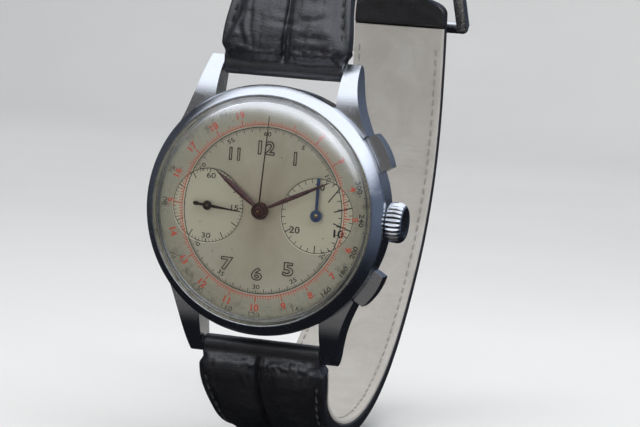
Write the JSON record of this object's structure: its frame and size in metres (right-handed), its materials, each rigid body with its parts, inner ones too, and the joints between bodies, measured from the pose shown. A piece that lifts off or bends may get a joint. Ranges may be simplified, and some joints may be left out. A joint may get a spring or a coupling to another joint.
{
  "type": "wristwatch",
  "caption": "Round steel chronograph wristwatch with two registers, crown, pushers, domed crystal, hand-wound movement and a closed two-piece leather strap with a pin buckle.",
  "frame": {"origin": "centre of the case back's flat outer face", "axes": "+X towards the crown at three o'clock, +Z towards twelve o'clock, -Y out of the dial towards the reader"},
  "size_m": [0.0402, 0.0782, 0.0898],
  "materials": {
    "polished_steel": "polished stainless steel with fine wear scratches",
    "plain_steel": "fine-ground steel",
    "crystal": "clear domed crystal",
    "dial": "aged silvered dial with sunburst brushing",
    "gilt_brass": "gilt brass with fine frosting",
    "spring_steel": "blued spring steel",
    "jewel": "polished synthetic ruby",
    "gasket": "matte rubber",
    "oxidised_hands": "purplish-brown heat-tinted steel",
    "black_hands": "near-black steel",
    "blued_hand": "blued steel",
    "black_leather": "black grained leather, satin",
    "lining_leather": "pale undyed lining leather, matte"
  },
  "bodies": {
    "case": {"mid_case": "polished_steel", "bezel": "polished_steel", "crystal": "crystal", "case_back": "polished_steel", "case_back_gasket": "gasket", "movement_ring": "gilt_brass", "crown_tube": "polished_steel", "pusher_tubes": "polished_steel", "spring_bars": "plain_steel", "dial": "dial", "main_plate": "gilt_brass", "barrel_bridge": "gilt_brass", "train_bridge": "gilt_brass", "balance_cock": "gilt_brass", "chronograph_bridge": "gilt_brass", "jewels": "jewel", "movement_screws": "plain_steel"},
    "minute_train": {"minute_hand": "oxidised_hands", "cannon_pinion": "plain_steel", "centre_wheel": "gilt_brass"},
    "hour_train": {"hour_hand": "oxidised_hands", "hour_wheel": "gilt_brass"},
    "motion_wheel": {"minute_wheel": "gilt_brass"},
    "barrel": {"mainspring_barrel": "gilt_brass"},
    "winding_arbor": {"barrel_arbor": "plain_steel", "ratchet_wheel": "plain_steel", "mainspring": "spring_steel"},
    "crown_wheel": {"crown_wheel": "plain_steel"},
    "click": {"click": "plain_steel"},
    "third_wheel": {"third_wheel": "gilt_brass"},
    "seconds_train": {"fourth_wheel": "gilt_brass", "small_seconds_hand": "black_hands"},
    "escape_wheel": {"escape_wheel": "plain_steel"},
    "pallet_fork": {"pallet_fork": "plain_steel"},
    "balance": {"balance_wheel": "gilt_brass", "hairspring": "spring_steel"},
    "chronograph_train": {"chronograph_runner": "gilt_brass", "chronograph_hand": "black_hands"},
    "recorder_train": {"minute_recorder_wheel": "gilt_brass", "minute_recorder_hand": "blued_hand"},
    "column_wheel": {"column_wheel": "plain_steel"},
    "coupling_lever": {"coupling_lever": "plain_steel"},
    "coupling_wheel": {"coupling_wheel": "gilt_brass"},
    "reset_hammer": {"reset_hammer": "plain_steel"},
    "stem_carrier": {"setting_lever": "plain_steel"},
    "crown": {"crown": "polished_steel", "winding_stem": "plain_steel"},
    "start_pusher": {"start_pusher": "polished_steel"},
    "reset_pusher": {"reset_pusher": "polished_steel"},
    "strap_12": {"strap_12_leather": "black_leather", "strap_12_lining": "lining_leather", "fixed_keeper": "black_leather", "buckle_bar": "polished_steel"},
    "strap_6": {"strap_6_leather": "black_leather", "strap_6_lining": "lining_leather"},
    "free_keeper": {"free_keeper": "black_leather"},
    "buckle": {"buckle_frame": "polished_steel"},
    "tongue": {"buckle_tongue": "polished_steel"}
  },
  "joints": [
    {"name": "minute_turn", "type": "hinge", "parent": "case", "child": "minute_train", "pos_m": [0, -0.0082, 0], "axis": [0, 1, 0], "continuous": true},
    {"name": "hour_turn", "type": "hinge", "parent": "case", "child": "hour_train", "pos_m": [0, -0.0082, 0], "axis": [0, 1, 0], "continuous": true},
    {"name": "motion_turn", "type": "hinge", "parent": "case", "child": "motion_wheel", "pos_m": [0, -0.0068, -0.004], "axis": [0, 1, 0], "continuous": true},
    {"name": "seconds_turn", "type": "hinge", "parent": "case", "child": "seconds_train", "pos_m": [-0.0086, -0.0082, 0], "axis": [0, 1, 0], "continuous": true},
    {"name": "third_turn", "type": "hinge", "parent": "case", "child": "third_wheel", "pos_m": [-0.0043, -0.0049, 0.00255], "axis": [0, 1, 0], "continuous": true},
    {"name": "escape_turn", "type": "hinge", "parent": "case", "child": "escape_wheel", "pos_m": [-0.00931, -0.0053, 0.00404], "axis": [0, 1, 0], "continuous": true},
    {"name": "barrel_turn", "type": "hinge", "parent": "case", "child": "barrel", "pos_m": [0.0025, -0.0044, -0.006], "axis": [0, 1, 0], "continuous": true},
    {"name": "coupling_turn", "type": "hinge", "parent": "coupling_lever", "child": "coupling_wheel", "pos_m": [-0.0052, -0.0026, 0], "axis": [0, 1, 0], "continuous": true},
    {"name": "crown_turn", "type": "hinge", "parent": "stem_carrier", "child": "crown", "pos_m": [0.019, -0.0051, 0], "axis": [1, 0, 0], "continuous": true},
    {"name": "winding_turn", "type": "hinge", "parent": "case", "child": "winding_arbor", "pos_m": [0.0025, -0.003, -0.006], "axis": [0, 1, 0], "continuous": true},
    {"name": "crown_wheel_turn", "type": "hinge", "parent": "case", "child": "crown_wheel", "pos_m": [0.00795, -0.003, -0.00745], "axis": [0, 1, 0], "continuous": true},
    {"name": "click_rock", "type": "hinge", "parent": "case", "child": "click", "pos_m": [-0.0026, -0.003, -0.0096], "axis": [0, 1, 0], "range_deg": [-3, 3]},
    {"name": "balance_swing", "type": "hinge", "parent": "case", "child": "balance", "pos_m": [-0.003, -0.0036, 0.0096], "axis": [0, 1, 0], "range_deg": [-135, 135]},
    {"name": "pallet_rock", "type": "hinge", "parent": "case", "child": "pallet_fork", "pos_m": [-0.0064, -0.0053, 0.007], "axis": [0, 1, 0], "range_deg": [-3, 3]},
    {"name": "chronograph_turn", "type": "hinge", "parent": "case", "child": "chronograph_train", "pos_m": [0, -0.0082, 0], "axis": [0, 1, 0], "continuous": true},
    {"name": "recorder_turn", "type": "hinge", "parent": "case", "child": "recorder_train", "pos_m": [0.0086, -0.0082, 0], "axis": [0, 1, 0], "continuous": true},
    {"name": "start_press", "type": "slide", "parent": "case", "child": "start_pusher", "axis": [-0.8572, 0, -0.515], "range_m": [0, 0.0008], "stiffness_N_per_m": 400},
    {"name": "reset_press", "type": "slide", "parent": "case", "child": "reset_pusher", "axis": [-0.8572, 0, 0.515], "range_m": [0, 0.0008], "stiffness_N_per_m": 400},
    {"name": "column_turn", "type": "hinge", "parent": "case", "child": "column_wheel", "pos_m": [0.0095, -0.0029, 0.007], "axis": [0, 1, 0], "range_deg": [0, 30]},
    {"name": "coupling_swing", "type": "hinge", "parent": "case", "child": "coupling_lever", "pos_m": [-0.0074, -0.0022, -0.008], "axis": [0, 1, 0], "range_deg": [-2, 0]},
    {"name": "hammer_swing", "type": "hinge", "parent": "case", "child": "reset_hammer", "pos_m": [0.0113, -0.0022, -0.006], "axis": [0, 1, 0], "range_deg": [0, 4]},
    {"name": "crown_pull", "type": "slide", "parent": "case", "child": "stem_carrier", "axis": [1, 0, 0], "range_m": [0, 0.0008]},
    {"name": "strap_12_swing", "type": "hinge", "parent": "case", "child": "strap_12", "pos_m": [0, -0.0031, 0.0213], "axis": [1, 0, 0], "range_deg": [0, 75]},
    {"name": "strap_6_swing", "type": "hinge", "parent": "case", "child": "strap_6", "pos_m": [0, -0.0031, -0.0213], "axis": [-1, 0, 0], "range_deg": [0, 75]},
    {"name": "buckle_swing", "type": "hinge", "parent": "strap_12", "child": "buckle", "pos_m": [0, 0.05765, 0.03747], "axis": [1, 0, 0], "range_deg": [0, 40]},
    {"name": "tongue_swing", "type": "hinge", "parent": "buckle", "child": "tongue", "pos_m": [0, 0.05765, 0.03747], "axis": [1, 0, 0], "range_deg": [0, 80]},
    {"name": "keeper_slide", "type": "slide", "parent": "strap_12", "child": "free_keeper", "axis": [0, 0.8387, -0.5446], "range_m": [-0.005, 0.001]}
  ],
  "couplings": [
    {"joint": "hour_turn", "follows": "minute_turn", "ratio": 0.083333},
    {"joint": "motion_turn", "follows": "minute_turn", "ratio": -0.25},
    {"joint": "barrel_turn", "follows": "minute_turn", "ratio": -0.16667},
    {"joint": "third_turn", "follows": "minute_turn", "ratio": -8},
    {"joint": "seconds_turn", "follows": "minute_turn", "ratio": 60},
    {"joint": "escape_turn", "follows": "minute_turn", "ratio": -600},
    {"joint": "coupling_turn", "follows": "minute_turn", "ratio": -120},
    {"joint": "crown_wheel_turn", "follows": "crown_turn", "ratio": 0.58333},
    {"joint": "winding_turn", "follows": "crown_turn", "ratio": -0.33333},
    {"joint": "pallet_rock", "follows": "balance_swing", "ratio": -0.0222},
    {"joint": "recorder_turn", "follows": "chronograph_turn", "ratio": 0.033333},
    {"joint": "column_turn", "follows": "start_press", "rad_per_m": 654.4},
    {"joint": "coupling_swing", "follows": "start_press", "rad_per_m": -43.6},
    {"joint": "hammer_swing", "follows": "reset_press", "rad_per_m": 87.2}
  ]
}
